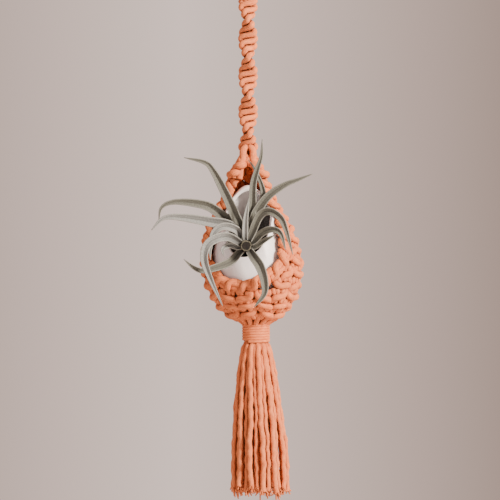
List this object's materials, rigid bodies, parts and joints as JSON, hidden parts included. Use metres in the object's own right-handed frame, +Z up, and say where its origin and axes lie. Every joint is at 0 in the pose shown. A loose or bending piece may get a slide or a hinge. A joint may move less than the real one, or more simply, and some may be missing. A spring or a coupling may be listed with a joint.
{
  "type": "air plant holder",
  "caption": "Hanging holder of knotted cotton cord: a spiral sinnet, a teardrop pod round an open egg-shaped cup with an air plant, and a tassel.",
  "frame": {"origin": "where the hook touches the inside of the hanging loop, at the loop's top", "axes": "+X to the right and -Y towards the viewer, with the cup's mouth at the front; +Z up, the holder hangs below the origin"},
  "size_m": [0.1139, 0.0856, 0.3859],
  "materials": {
    "cotton_cord": "twisted cotton cord, peach",
    "white_ceramic": "smooth, matte white",
    "plant_leaf": "silver grey-green, fine scales",
    "plant_base": "dry grey-brown leaf bases"
  },
  "bodies": {
    "loop": {"hanging_loop": "cotton_cord"},
    "sinnet": {"filler_cord_left": "cotton_cord", "filler_cord_right": "cotton_cord", "working_cord_first": "cotton_cord", "working_cord_second": "cotton_cord"},
    "pod": {"crown_knot": "cotton_cord", "knot_row_01": "cotton_cord", "knot_row_02": "cotton_cord", "knot_row_03": "cotton_cord", "knot_row_04": "cotton_cord", "knot_row_05": "cotton_cord", "knot_row_06": "cotton_cord", "knot_row_07": "cotton_cord", "knot_row_08": "cotton_cord", "knot_row_09": "cotton_cord", "knot_row_10": "cotton_cord", "knot_row_11": "cotton_cord", "knot_row_12": "cotton_cord", "knot_row_13": "cotton_cord", "knot_row_14": "cotton_cord", "knot_row_15": "cotton_cord", "egg_cup": "white_ceramic", "gathered_cords": "cotton_cord", "gathering_wrap": "cotton_cord"},
    "tassel": {"tassel_strand_01": "cotton_cord", "tassel_strand_02": "cotton_cord", "tassel_strand_03": "cotton_cord", "tassel_strand_04": "cotton_cord", "tassel_strand_05": "cotton_cord", "tassel_strand_06": "cotton_cord", "tassel_strand_07": "cotton_cord", "tassel_strand_08": "cotton_cord", "tassel_strand_09": "cotton_cord", "tassel_strand_10": "cotton_cord", "tassel_strand_11": "cotton_cord", "tassel_strand_12": "cotton_cord", "tassel_strand_13": "cotton_cord", "tassel_strand_14": "cotton_cord", "tassel_strand_15": "cotton_cord", "tassel_strand_16": "cotton_cord", "tassel_strand_17": "cotton_cord", "tassel_strand_18": "cotton_cord", "tassel_strand_19": "cotton_cord", "tassel_strand_20": "cotton_cord"},
    "plant": {"plant_stem": "plant_base", "leaf_01": "plant_leaf", "leaf_02": "plant_leaf", "leaf_03": "plant_leaf", "leaf_04": "plant_leaf", "leaf_05": "plant_leaf", "leaf_06": "plant_leaf", "leaf_07": "plant_leaf", "leaf_08": "plant_leaf", "leaf_09": "plant_leaf", "leaf_10": "plant_leaf", "leaf_11": "plant_leaf", "leaf_12": "plant_leaf", "leaf_13": "plant_leaf", "leaf_14": "plant_leaf", "leaf_15": "plant_leaf"}
  },
  "joints": [
    {"name": "holder_sway", "type": "hinge", "parent": "loop", "child": "sinnet", "pos_m": [0, 0, -0.022], "axis": [0, 1, 0], "range_deg": [-25, 25]},
    {"name": "pod_twist", "type": "hinge", "parent": "sinnet", "child": "pod", "pos_m": [0, 0, -0.1421], "axis": [0, 0, 1], "range_deg": [-30, 30]},
    {"name": "tassel_swing", "type": "hinge", "parent": "pod", "child": "tassel", "pos_m": [0.0057, 0, -0.2679], "axis": [0, 1, 0], "range_deg": [-20, 20]},
    {"name": "plant_lift_out", "type": "slide", "parent": "pod", "child": "plant", "axis": [-0.1723, -0.7464, 0.6428], "range_m": [0, 0.12]}
  ]
}
